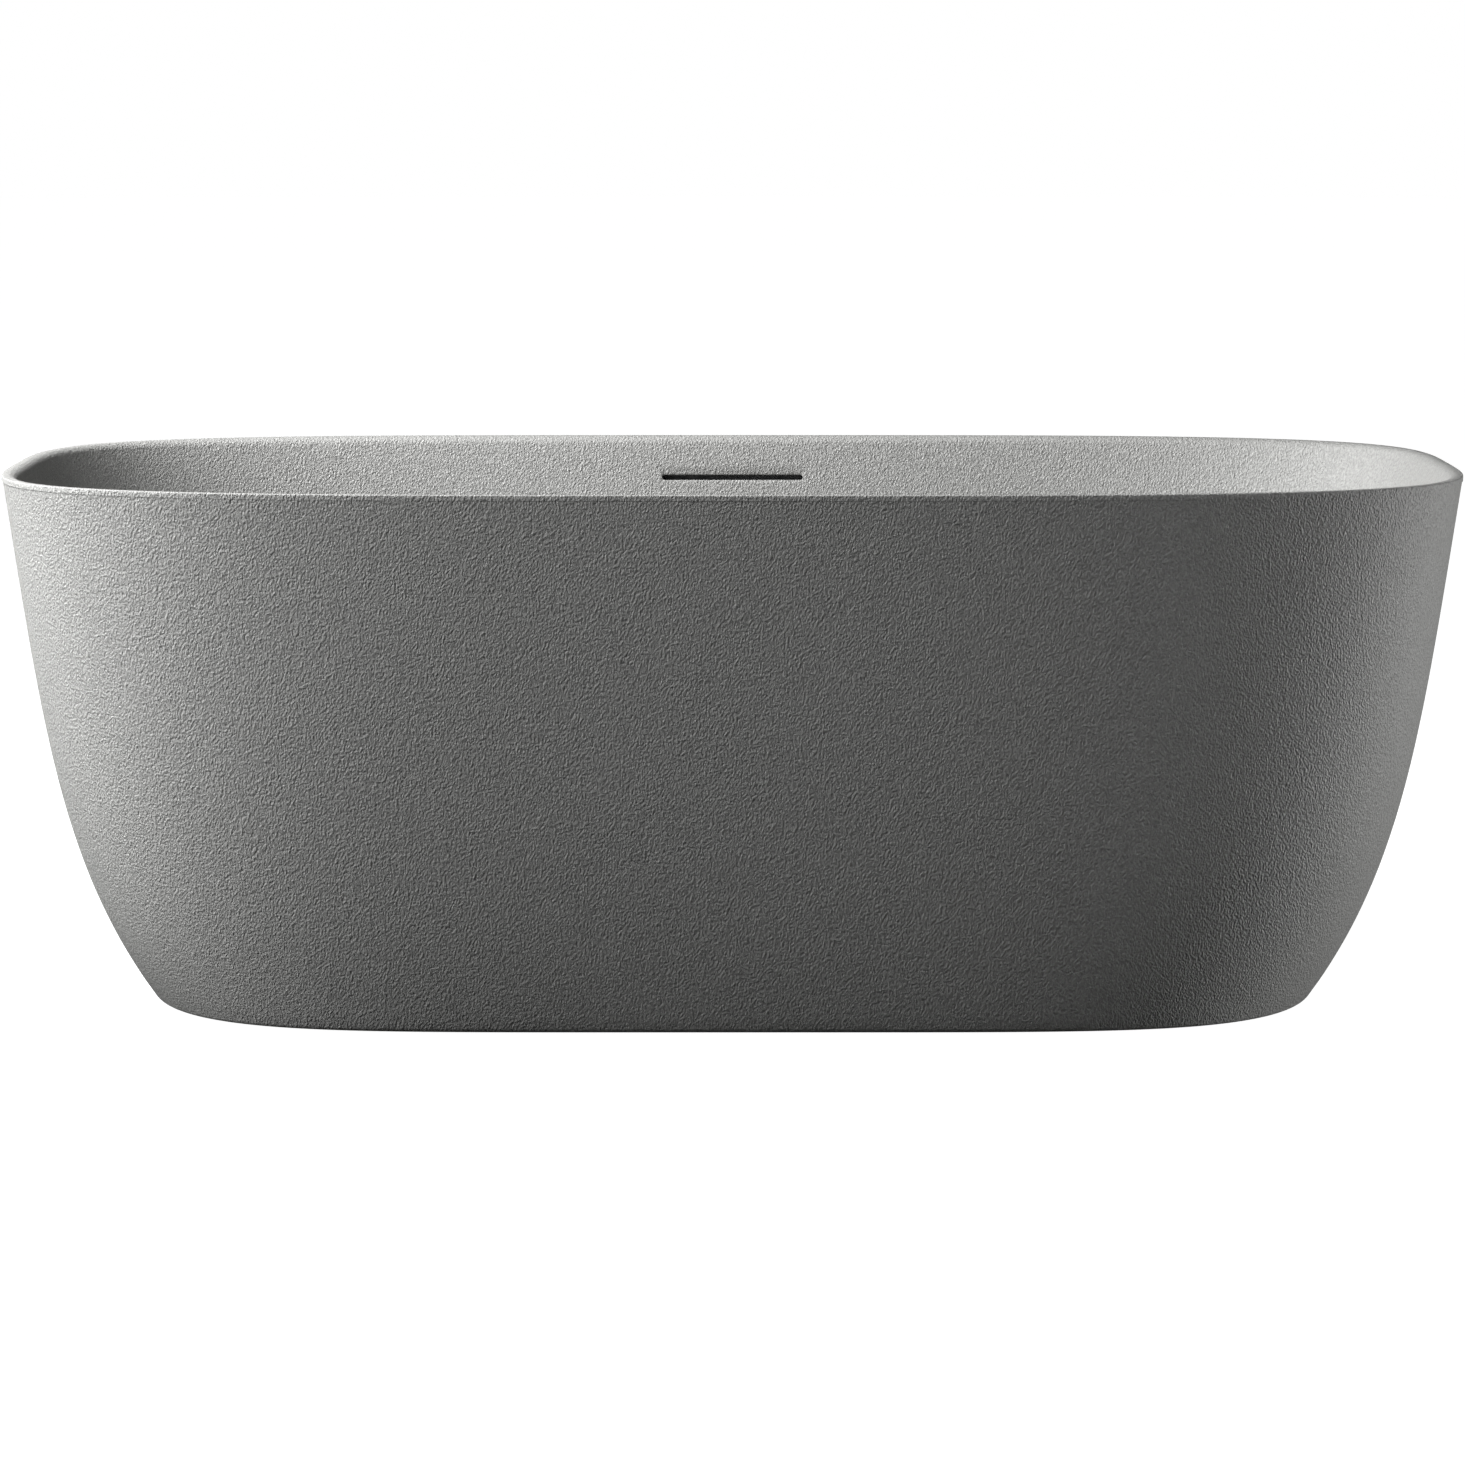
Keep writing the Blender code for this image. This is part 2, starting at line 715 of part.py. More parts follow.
def make_feet():
    weld_low = CROSS_UNDER - GAP - WELD_NUT
    lock_low = weld_low - GAP - LOCK_NUT
    for side, way in SIDES.items():
        for end, back in ENDS.items():
            x = way * CROSS_X
            y = back * FOOT_Y
            make_pad(f"foot_pad_{side}_{end}", x, y)
            make_stud(f"foot_stud_{side}_{end}", x, y)
            make_nut(f"weld_nut_{side}_{end}", x, y, weld_low, WELD_NUT)
            make_nut(f"lock_nut_{side}_{end}", x, y, lock_low, LOCK_NUT)


# ---------------------------------------------------------------- overflow


def make_overflow_seal():
    """A flat rubber frame on the basin's hidden face, round the slot."""
    half_x = SLOT_LENGTH / 2 + OVERFLOW_MARGIN
    half_z = OVERFLOW_SEAL_HEIGHT / 2
    outline = rounded_rectangle(half_x, half_z, OVERFLOW_SEAL_CORNER, 3)
    seal = plate("overflow_seal", outline, -OVERFLOW_SEAL / 2, OVERFLOW_SEAL / 2, rubber)
    normal = Vector((0, cos(SIDE_LEAN), -sin(SIDE_LEAN)))
    centre = slot_centre() + normal * (SHELL + GAP + OVERFLOW_SEAL / 2)
    seal.location = centre
    seal.rotation_euler = (pi / 2 - SIDE_LEAN, 0, 0)
    window_x = SLOT_LENGTH / 2 + OVERFLOW_MARGIN / 2
    window_z = OVERFLOW_WINDOW / 2
    window = box("seal_window", (-window_x, -window_z, -CUT), (window_x, window_z, CUT), None)
    window.location = centre
    window.rotation_euler = seal.rotation_euler
    cut(seal, window)


def channel_side(name, inset, half_x, finish):
    """The channel's side outline in YZ, drawn in along its edges by inset, and pulled out along X."""
    top = SLOT_DEPTH - OVERFLOW_SEAL_HEIGHT / 2 + inset
    low = CHANNEL_DROP - inset
    face = (OVERFLOW_SEAL + 2 * GAP) / cos(SIDE_LEAN) + inset / cos(SIDE_LEAN)
    back = skirt_inside(0, HEIGHT - CHANNEL_DROP) - CHANNEL_BACK_GAP - inset
    outline = [
        (wall_back(top) + face, HEIGHT - top),
        (back, HEIGHT - top),
        (back, HEIGHT - low),
        (wall_back(low) + face, HEIGHT - low),
    ]
    piece = plate(name, outline, -half_x, half_x, finish)
    turn = Matrix(((0, 0, 1), (1, 0, 0), (0, 1, 0))).to_4x4()
    piece.data.transform(turn @ Matrix.Translation(piece.location))
    piece.location = (0, 0, 0)
    return piece


def make_overflow_channel():
    """A slim water channel behind the slot, with a spigot for the hose at its lower end."""
    half_x = SLOT_LENGTH / 2 + OVERFLOW_MARGIN
    channel = channel_side("overflow_channel", 0, half_x, grey_plastic)
    spigot_radius = HOSE_RADIUS - HOSE_WALL - SPIGOT_GAP
    foot = HEIGHT - CHANNEL_DROP
    centre = (0, HOSE_TOP_Y, foot - SPIGOT_LENGTH / 2 + CHANNEL_WALL / 2)
    length = SPIGOT_LENGTH + CHANNEL_WALL
    join(channel, cylinder("channel_spigot", spigot_radius, length, centre, None))
    cut(channel, channel_side("channel_space", CHANNEL_WALL, half_x - CHANNEL_WALL, None))
    bore = spigot_radius - CHANNEL_WALL
    cut(channel, cylinder("spigot_bore", bore, 4 * SPIGOT_LENGTH - CUT, SPIGOT_BORE_AT, None))
    window_x = SLOT_LENGTH / 2 + OVERFLOW_MARGIN / 2
    window_z = OVERFLOW_WINDOW / 2
    reach = SHELL + 3 * OVERFLOW_SEAL
    window = box("channel_window", (-window_x, 0, -window_z), (window_x, reach, window_z), None)
    window.location = slot_centre() + Vector((0, reach / 2, 0))
    cut(channel, window)


def make_overflow_hose():
    """From the channel's spigot down the skirt's inner face, then forward to the waste body."""
    start = HEIGHT - CHANNEL_DROP - 2 * GAP
    bend_top = PORT_HEIGHT + HOSE_BEND
    middle = (start + bend_top) / 2
    heights = (start, start - HOSE_BEND / 2, middle, bend_top)
    points = [Vector((0, hose_back(height), height)) for height in heights]
    points[0].y = points[1].y = HOSE_TOP_Y
    corner_y = points[-1].y
    for step in (1, 2, 3):
        angle = step * pi / 6
        y = corner_y - HOSE_BEND * (1 - cos(angle))
        points.append(Vector((0, y, PORT_HEIGHT + HOSE_BEND * (1 - sin(angle)))))
    end = BODY_RADIUS + GAP
    points.append(Vector((0, (points[-1].y + end) / 2, PORT_HEIGHT)))
    points.append(Vector((0, end, PORT_HEIGHT)))
    hose = wire("overflow_hose", smooth_route(points, 3), HOSE_RADIUS, 2, False, black_plastic)
    hollow = hose.modifiers.new("Wall", "SOLIDIFY")
    hollow.thickness = HOSE_WALL
    hollow.offset = -1
    inner = HOSE_RADIUS + BORE_GAP
    outer = inner + CLIP_WALL
    top = start - 2 * GAP
    place = (0, HOSE_TOP_Y, top - CLIP_WIDTH)
    ring("hose_clip_upper", inner, outer, 0, CLIP_WIDTH, zinc, place)
    near = (0, end + CLIP_WIDTH, PORT_HEIGHT)
    ring("hose_clip_lower", inner, outer, 0, CLIP_WIDTH, zinc, near, (-pi / 2, 0, 0))


# ---------------------------------------------------------------- waste


def make_waste_seals():
    inner = DRAIN_RADIUS + GAP
    low = RECESS_TOP + GAP
    ring("waste_seal_upper", inner, FLANGE_RADIUS, low, low + SEAL_THICK, rubber)
    high = RECESS_UNDER - GAP
    ring("waste_seal_lower", inner, FLANGE_RADIUS, high - SEAL_THICK, high, rubber)


def make_waste_flange():
    """The waste's top: a flat ring, a tailpiece, and a cross that holds the cartridge."""
    chamfer = FLANGE_THICK / 3
    profile = [
        (TAILPIECE_BORE, FLANGE_TOP),
        (FLANGE_RADIUS - chamfer, FLANGE_TOP),
        (FLANGE_RADIUS, FLANGE_TOP - chamfer),
        (FLANGE_RADIUS, FLANGE_UNDER),
        (TAILPIECE_RADIUS, FLANGE_UNDER),
        (TAILPIECE_RADIUS, FLANGE_UNDER - TAILPIECE_LENGTH),
        (TAILPIECE_BORE, FLANGE_UNDER - TAILPIECE_LENGTH),
    ]
    flange = turned("waste_flange", profile, satin_steel, steps=24)
    reach = (TAILPIECE_RADIUS + TAILPIECE_BORE) / 2
    half = CARTRIDGE_COLLAR / 4
    low = CROSS_BAR_TOP - 2 * CARTRIDGE_COLLAR / 3
    for name, across in (("cross_bar_x", (reach, half)), ("cross_bar_y", (half, reach))):
        bar = box(name, (-across[0], -across[1], low), (*across, CROSS_BAR_TOP), None)
        join(flange, bar)
    middle = (0, 0, (low + CROSS_BAR_TOP) / 2)
    height = CROSS_BAR_TOP - low
    join(flange, cylinder("cross_boss", CARTRIDGE_COLLAR, height + GAP, middle, None))
    radius = CARTRIDGE_RADIUS + BORE_GAP
    cut(flange, cylinder("cross_hole", radius, 3 * height, middle, None))


def make_waste_body():
    """A cup under the drain, with a port for the overflow hose and a tail for the trap."""
    bore = TAILPIECE_RADIUS + BORE_GAP
    profile = [
        (bore, BODY_TOP),
        (FLANGE_RADIUS, BODY_TOP),
        (FLANGE_RADIUS, BODY_TOP - BODY_WALL),
        (BODY_RADIUS, BODY_TOP - BODY_WALL),
        (BODY_RADIUS, BODY_FLOOR),
        (TAIL_RADIUS, BODY_FLOOR),
        (TAIL_RADIUS, TAIL_END),
        (TAIL_RADIUS - TAIL_WALL, TAIL_END),
        (TAIL_RADIUS - TAIL_WALL, BODY_FLOOR + BODY_WALL),
        (bore, BODY_FLOOR + BODY_WALL),
    ]
    body = turned("waste_body", profile, grey_plastic, steps=24)
    port = HOSE_RADIUS - HOSE_WALL - SPIGOT_GAP
    start = (BODY_RADIUS + bore) / 2
    centre = (0, (start + PORT_REACH) / 2, PORT_HEIGHT)
    join(body, cylinder("port_tube", port, PORT_REACH - start, centre, None, "Y"))
    bore_centre = (0, PORT_REACH, PORT_HEIGHT)
    length = 2 * (PORT_REACH - bore / 2)
    cut(body, cylinder("port_bore", port - CHANNEL_WALL, length, bore_centre, None, "Y"))


# ---------------------------------------------------------------- pop-up plug


def make_plug_cap():
    """The visible disc, with a hub below it that carries the sealing ring and the stem."""
    groove = HUB_RADIUS - 2 * RING_SECTION + GAP
    middle = (CAP_UNDER + HUB_UNDER) / 2
    half = RING_SECTION + GAP
    profile = [
        (0, CAP_UNDER + CAP_THICK + CAP_CROWN),
        (CAP_RADIUS * 0.5, CAP_UNDER + CAP_THICK + CAP_CROWN * 0.75),
        (CAP_RADIUS - CAP_CROWN, CAP_UNDER + CAP_THICK),
        (CAP_RADIUS, CAP_UNDER + CAP_THICK - CAP_CROWN),
        (CAP_RADIUS, CAP_UNDER),
        (HUB_RADIUS, CAP_UNDER),
        (HUB_RADIUS, middle + half),
        (groove, middle + half),
        (groove, middle - half),
        (HUB_RADIUS, middle - half),
        (HUB_RADIUS, HUB_UNDER),
        (STEM_RADIUS + BORE_GAP, HUB_UNDER),
        (STEM_RADIUS + BORE_GAP, CAP_UNDER - GAP),
        (0, CAP_UNDER - GAP),
    ]
    turned("plug_cap", profile, satin_steel, steps=24)
    return groove, middle


def make_plug():
    groove, middle = make_plug_cap()
    major = groove + GAP + RING_SECTION
    points = []
    for step in range(RING_SIDES):
        angle = -2 * pi * step / RING_SIDES
        points.append((major + RING_SECTION * cos(angle), middle + RING_SECTION * sin(angle)))
    turned("plug_seal", points, rubber, steps=24)
    foot_top = SPRING_TOP + GAP + STEM_FOOT_THICK
    profile = [
        (0, CAP_UNDER - 2 * GAP),
        (STEM_RADIUS, CAP_UNDER - 2 * GAP),
        (STEM_RADIUS, foot_top),
        (STEM_FOOT_RADIUS, foot_top),
        (STEM_FOOT_RADIUS, SPRING_TOP + GAP),
        (0, SPRING_TOP + GAP),
    ]
    turned("plug_stem", profile, brass, steps=16)


def make_cartridge():
    """The click mechanism's barrel: it screws into the cross and guides the stem."""
    low = CARTRIDGE_TOP - CARTRIDGE_LENGTH
    floor = low + CARTRIDGE_LID
    hole = STEM_RADIUS + BORE_GAP
    profile = [
        (0, floor),
        (CARTRIDGE_BORE, floor),
        (CARTRIDGE_BORE, CARTRIDGE_TOP - CARTRIDGE_LID),
        (hole, CARTRIDGE_TOP - CARTRIDGE_LID),
        (hole, CARTRIDGE_TOP),
        (CARTRIDGE_RADIUS, CARTRIDGE_TOP),
        (CARTRIDGE_RADIUS, CROSS_BAR_TOP + GAP + CARTRIDGE_LID),
        (CARTRIDGE_COLLAR, CROSS_BAR_TOP + GAP + CARTRIDGE_LID),
        (CARTRIDGE_COLLAR, CROSS_BAR_TOP + GAP),
        (CARTRIDGE_RADIUS, CROSS_BAR_TOP + GAP),
        (CARTRIDGE_RADIUS, low),
        (0, low),
    ]
    turned("click_cartridge", profile, brass)


def make_plug_spring():
    low = CARTRIDGE_TOP - CARTRIDGE_LENGTH + CARTRIDGE_LID + SPRING_WIRE + GAP
    high = SPRING_TOP - SPRING_WIRE
    radius = CARTRIDGE_BORE - SPRING_WIRE - 2 * GAP
    count = 10 * SPRING_TURNS
    route = []
    for step in range(count + 1):
        angle = 2 * pi * SPRING_TURNS * step / count
        height = low + (high - low) * step / count
        route.append(Vector((radius * cos(angle), radius * sin(angle), height)))
    wire("plug_spring", route, SPRING_WIRE, 0, True, zinc)


# ---------------------------------------------------------------- trap


def make_trap():
    """A shallow bowl trap with a slip nut above it and a socket for the outlet pipe."""
    collar = TAIL_RADIUS + 3 * BORE_GAP + COLLAR_WALL
    hole = TAIL_RADIUS + 3 * BORE_GAP
    inside = TRAP_RADIUS - TRAP_WALL
    profile = [
        (0, TRAP_CLEAR + TRAP_WALL),
        (inside, TRAP_CLEAR + TRAP_WALL),
        (inside, TRAP_TOP - TRAP_WALL),
        (hole, TRAP_TOP - TRAP_WALL),
        (hole, COLLAR_TOP),
        (collar, COLLAR_TOP),
        (collar, TRAP_TOP),
        (TRAP_RADIUS, TRAP_TOP),
        (TRAP_RADIUS, TRAP_CLEAR),
        (0, TRAP_CLEAR),
    ]
    trap = turned("trap_bowl", profile, grey_plastic, steps=TRAP_SIDES)
    outer = PIPE_RADIUS + BORE_GAP + SOCKET_WALL
    start = inside
    centre = ((start + SOCKET_REACH) / 2, 0, OUTLET_HEIGHT)
    length = SOCKET_REACH - start
    join(trap, cylinder("trap_socket", outer, length, centre, None, "X", TRAP_SIDES))
    bore_centre = (SOCKET_REACH, 0, OUTLET_HEIGHT)
    bore_length = 2 * (SOCKET_REACH - inside + TRAP_WALL)
    bore = PIPE_RADIUS + BORE_GAP
    cut(trap, cylinder("socket_bore", bore, bore_length, bore_centre, None, "X", TRAP_SIDES))

    seal_low = COLLAR_TOP + GAP
    seal_top = seal_low + SEAL_THICK
    ring("trap_seal", TAIL_RADIUS + BORE_GAP, collar, seal_low, seal_top, rubber)
    slip_nut("trap_nut", collar, hole, TRAP_TOP + GAP, seal_top + GAP)
    slip_nut("outlet_nut", outer, bore, -SOCKET_GRIP + NUT_LIP, GAP, SOCKET_REACH)
    start = SOCKET_REACH - SOCKET_GRIP
    ring(
        "outlet_pipe",
        PIPE_RADIUS - PIPE_WALL,
        PIPE_RADIUS,
        0,
        PIPE_END - start,
        grey_plastic,
        (start, 0, OUTLET_HEIGHT),
        (0, pi / 2, 0),
        TRAP_SIDES,
    )


def slip_nut(name, over, through, low, lip, along_x=None):
    """A ring round a socket's outside, with a lip that closes over the socket's end."""
    inner = over + BORE_GAP
    outer = inner + NUT_WALL
    chamfer = NUT_LIP / 2
    profile = [
        (through, lip + NUT_LIP),
        (outer - chamfer, lip + NUT_LIP),
        (outer, lip + NUT_LIP - chamfer),
        (outer, low),
        (inner, low),
        (inner, lip),
        (through, lip),
    ]
    if along_x is None:
        turned(name, profile, black_plastic, steps=TRAP_SIDES)
    else:
        place = (along_x, 0, OUTLET_HEIGHT)
        turned(name, profile, black_plastic, place, (0, pi / 2, 0), TRAP_SIDES)


# ---------------------------------------------------------------- places worked out from the above

CARTRIDGE_COLLAR = CARTRIDGE_RADIUS + CARTRIDGE_STEP
CROSS_BAR_TOP = FLANGE_UNDER - CROSS_BAR_DEPTH
CARTRIDGE_TOP = CROSS_BAR_TOP + CARTRIDGE_RISE
SPRING_TOP = CARTRIDGE_TOP - CARTRIDGE_LID - PLUG_LIFT - PLUG_PRESS - LATCH_ROOM

BODY_RADIUS = TAILPIECE_RADIUS + BORE_GAP + BODY_WALL
COLLAR_TOP = BODY_FLOOR - NUT_LIP - SEAL_THICK - 4 * GAP - NUT_CLEAR
TRAP_TOP = COLLAR_TOP - COLLAR_HEIGHT
OUTLET_HEIGHT = (TRAP_TOP + TRAP_CLEAR) / 2

CROSS_X = FLAT_HALF_X - CROSS_SETBACK
BLOCK_LOW = CROSS_TOP - BLOCK_HEIGHT / 4
BLOCK_TOP = BLOCK_LOW + BLOCK_HEIGHT
BRACKET_Y = skirt_inside(CROSS_X, BLOCK_LOW) - BLOCK_DEPTH - BRACKET_THICK
CROSS_HALF = BRACKET_Y - GAP
FOOT_Y = CROSS_HALF - FOOT_SETBACK


def hose_back(height):
    return skirt_inside(0, height) - HOSE_RADIUS - HOSE_TO_SKIRT


HOSE_TOP_Y = hose_back(HEIGHT - CHANNEL_DROP - SPIGOT_LENGTH)
SPIGOT_BORE_AT = (0, HOSE_TOP_Y, HEIGHT - CHANNEL_DROP - 2 * SPIGOT_LENGTH + CUT)

clear_scene()
tub = new_collection("freestanding_bathtub")
cutters = new_collection("cutters")
cutters.hide_render = True

stone_grey = material("stone_grey", (0.33, 0.33, 0.32), 0.62)
bond_white = material("bond_white", (0.75, 0.74, 0.70), 0.6)
board_wood = material("board_wood", (0.48, 0.33, 0.18), 0.8)
block_wood = material("block_wood", (0.52, 0.38, 0.22), 0.8)
galvanised = material("galvanised", (0.55, 0.56, 0.57), 0.45, 0.9)
zinc = material("zinc", (0.68, 0.68, 0.66), 0.35, 1.0)
satin_steel = material("satin_steel", (0.72, 0.72, 0.72), 0.15, 1.0)
brass = material("brass", (0.72, 0.53, 0.25), 0.3, 1.0)
rubber = material("rubber", (0.03, 0.03, 0.03), 0.8)
grey_plastic = material("grey_plastic", (0.42, 0.43, 0.44), 0.5)
black_plastic = material("black_plastic", (0.04, 0.04, 0.045), 0.55)

make_basin()
make_skirt()
make_rim_bond()
make_floor_board()
make_frame()
make_skirt_fixings()
make_feet()
make_overflow_seal()
make_overflow_channel()
make_overflow_hose()
make_waste_seals()
make_waste_flange()
make_waste_body()
make_plug()
make_cartridge()
make_plug_spring()
make_trap()
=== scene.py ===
"""Freestanding bathtub, seen from the front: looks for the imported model.

Metres, +Z up, -Y the front. The shells are drawn again with the same formulas as the solids, only finer.
"""

import json

from math import cos, pi, radians, sin, tan

import bmesh
import bpy
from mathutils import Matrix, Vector


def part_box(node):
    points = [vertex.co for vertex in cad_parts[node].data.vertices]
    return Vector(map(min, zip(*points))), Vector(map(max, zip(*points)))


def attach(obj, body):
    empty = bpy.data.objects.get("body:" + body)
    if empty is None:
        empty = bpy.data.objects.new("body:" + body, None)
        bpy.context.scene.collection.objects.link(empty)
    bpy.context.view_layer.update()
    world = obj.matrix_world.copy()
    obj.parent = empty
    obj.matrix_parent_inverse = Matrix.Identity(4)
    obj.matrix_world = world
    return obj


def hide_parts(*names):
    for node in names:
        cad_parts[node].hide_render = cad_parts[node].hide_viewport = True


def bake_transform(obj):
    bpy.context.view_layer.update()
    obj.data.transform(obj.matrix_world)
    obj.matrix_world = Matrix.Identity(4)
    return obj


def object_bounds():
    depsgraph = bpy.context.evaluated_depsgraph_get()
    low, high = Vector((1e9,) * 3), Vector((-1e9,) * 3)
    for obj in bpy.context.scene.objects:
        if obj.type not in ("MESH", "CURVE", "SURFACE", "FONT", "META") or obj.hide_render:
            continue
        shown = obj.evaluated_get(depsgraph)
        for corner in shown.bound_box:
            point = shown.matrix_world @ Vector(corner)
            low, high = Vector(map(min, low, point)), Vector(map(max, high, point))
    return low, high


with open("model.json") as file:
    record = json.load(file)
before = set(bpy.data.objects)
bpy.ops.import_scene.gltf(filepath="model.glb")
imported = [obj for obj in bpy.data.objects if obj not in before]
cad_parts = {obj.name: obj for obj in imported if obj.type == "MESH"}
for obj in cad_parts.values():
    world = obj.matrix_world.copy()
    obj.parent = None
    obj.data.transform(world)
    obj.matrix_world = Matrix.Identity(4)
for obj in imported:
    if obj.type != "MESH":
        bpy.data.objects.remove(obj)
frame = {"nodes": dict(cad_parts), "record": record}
cad_low, cad_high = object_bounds()

# Overall size, from the frame
LENGTH = cad_high.x - cad_low.x
WIDTH = cad_high.y - cad_low.y
HEIGHT = cad_high.z
SKIRT_LIFT = 0.003
END_TUCK = 0.152
SIDE_TUCK = 0.037
BASE_LENGTH = LENGTH - 2 * END_TUCK
BASE_WIDTH = WIDTH - 2 * SIDE_TUCK

# Outlines
RIM_POWERS = (3.93, 3.60)
BASE_POWERS = (5.62, 2.64)
FLOOR_POWERS = (3.40, 3.00)
TAPER_STRAIGHT = 0.50
TAPER_POWER = 4.36

# Basin and skirt
SHELL = 0.006
RIM_WIDTH = 0.014
RIM_RADIUS = 0.012
RIM_EDGE = 0.0014
FLOOR_HEIGHT = 0.150
FLOOR_RADIUS = 0.090
END_LEAN = radians(24)
SIDE_LEAN = radians(12)
RECESS_DEPTH = 0.006
RECESS_RADIUS = 0.045
RECESS_SLOPE = 0.015
DRAIN_RADIUS = 0.026
LIP_RADIUS = 0.006
SKIRT_WALL = 0.0045
SKIRT_EDGE_RADIUS = 0.006
SKIRT_FLANGE = 0.025
RIM_JOINT = 0.001
BOND_DEPTH = 0.030
BOND_CLEAR = 0.0014  # between the bead and the basin's hidden side
JOINT_CLEAR = 0.00005  # between the filled joint and both shells' edges
JOINT_SINK = 0.00002  # of the filled joint behind the outside

# Overflow slot
SLOT_LENGTH = 0.168
SLOT_HEIGHT = 0.0065
SLOT_DEPTH = 0.0485
SLOT_EDGE = 0.0005
SLOT_FLARE = ((-4, 3.2), (-0.05, 1), (0.3, 0.45), (1, 0))  # depth and growth, in slot edges
SLOT_REACH = 2.2 * SHELL

# Plug spring
SPRING_WIRE = 0.0006
SPRING_TURNS = 5
TURN_STEPS = 32

# Levelling feet, M12
THREAD_PITCH = 0.00175

GAP = 0.0003  # between pieces that touch

# Fineness
AROUND = 320
FINE = 800  # trial angles in a quarter turn
END_STEPS = 12  # in each round end of the slot
CREASE = radians(38)

CORNER_HALF_X = LENGTH / 2 - RIM_WIDTH - tan(END_LEAN) * (HEIGHT - FLOOR_HEIGHT)
CORNER_HALF_Y = WIDTH / 2 - RIM_WIDTH - tan(SIDE_LEAN) * (HEIGHT - FLOOR_HEIGHT)

# The camera stands where it sees the tub as the photograph does
CAMERA_BACK = 5.068
CAMERA_HEIGHT = 1.0345
CAMERA_PITCH = radians(8.517)
CAMERA_LENS = 111.74


# ---------------------------------------------------------------- small helpers


def linked(name, data):
    """A new object in the scene."""
    obj = bpy.data.objects.new(name, data)
    bpy.context.scene.collection.objects.link(obj)
    return obj


def meshed(name, bm):
    """A new object from a finished bmesh."""
    mesh = bpy.data.meshes.new(name)
    bm.to_mesh(mesh)
    bm.free()
    return linked(name, mesh)


def evaluated_mesh(obj):
    """The mesh that an object's modifiers or curve settings make."""
    graph = bpy.context.evaluated_depsgraph_get()
    return bpy.data.meshes.new_from_object(obj.evaluated_get(graph))


def smooth(mesh, crease):
    mesh.shade_smooth()
    mesh.set_sharp_from_angle(angle=crease)


# ---------------------------------------------------------------- camera, stage and light


def make_camera():
    data = bpy.data.cameras.new("camera")
    data.lens = CAMERA_LENS
    data.sensor_width = 36
    camera = linked("camera", data)
    camera.location = (0, -CAMERA_BACK, CAMERA_HEIGHT)
    camera.rotation_euler = (pi / 2 - CAMERA_PITCH, 0, 0)
    bpy.context.scene.camera = camera


def studio_white(name, grey, roughness):
    """A backdrop that glows white without a highlight."""
    white = bpy.data.materials.new(name)
    white.use_nodes = True
    inputs = white.node_tree.nodes["Principled BSDF"].inputs
    inputs["Base Color"].default_value = (grey, grey, grey, 1)
    inputs["Roughness"].default_value = roughness
    inputs["Specular IOR Level"].default_value = 0.0
    inputs["Emission Color"].default_value = (1, 1, 1, 1)
    inputs["Emission Strength"].default_value = 1.0
    return white


def make_stage():
    """A pale studio floor and a pale surround, which light nothing themselves."""
    bm = bmesh.new()
    bmesh.ops.create_grid(bm, x_segments=1, y_segments=1, size=30)
    floor = meshed("studio_floor", bm)
    floor.data.materials.append(studio_white("studio_floor", 0.25, 0.9))
    floor.visible_diffuse = False
    floor.visible_glossy = False

    bm = bmesh.new()
    bmesh.ops.create_uvsphere(bm, u_segments=48, v_segments=24, radius=28)
    bmesh.ops.reverse_faces(bm, faces=bm.faces)
    surround = meshed("studio_surround", bm)
    surround.data.materials.append(studio_white("studio_surround", 0, 0.5))
    surround.visible_diffuse = False
    surround.visible_glossy = False
    surround.visible_shadow = False
    surround.visible_transmission = False


def softbox(name, place, target, size, watts):
    """An area light that faces its target."""
    data = bpy.data.lights.new(name, "AREA")
    data.shape = "RECTANGLE"
    data.size, data.size_y = size
    data.energy = watts
    light = linked(name, data)
    light.location = place
    aim = Vector(target) - Vector(place)
    light.rotation_euler = aim.to_track_quat("-Z", "Y").to_euler()


def make_lights():
    world = bpy.data.worlds.new("studio")
    bpy.context.scene.world = world
    world.use_nodes = True
    sky = world.node_tree.nodes["Background"].inputs
    sky["Color"].default_value = (0.97, 0.99, 1.0, 1)
    sky["Strength"].default_value = 0.01
    softbox("key_left", (-3.2, -0.6, 0.9), (0, 0, 0.35), (1.6, 2.0), 62)
    softbox("key_high", (-2.0, -1.2, 3.0), (0.1, 0.2, 0.4), (1.0, 1.0), 84)
    softbox("high_left", (-3.0, -0.5, 2.6), (0, 0, 0.35), (2.0, 1.2), 80)
    softbox("inside_left", (-2.1, -0.1, 2.3), (0.3, 0.3, 0.4), (0.6, 0.5), 95)
    softbox("front_left", (-3.0, -2.0, 1.0), (0, 0, 0.35), (1.5, 2.0), 16)
    softbox("overhead", (0.2, -0.1, 2.4), (0.3, 0.35, 0.4), (0.8, 0.4), 6)
    softbox("right_low", (3.0, -0.3, 0.22), (0, 0, 0.22), (1.2, 0.7), 56)


# ---------------------------------------------------------------- node materials


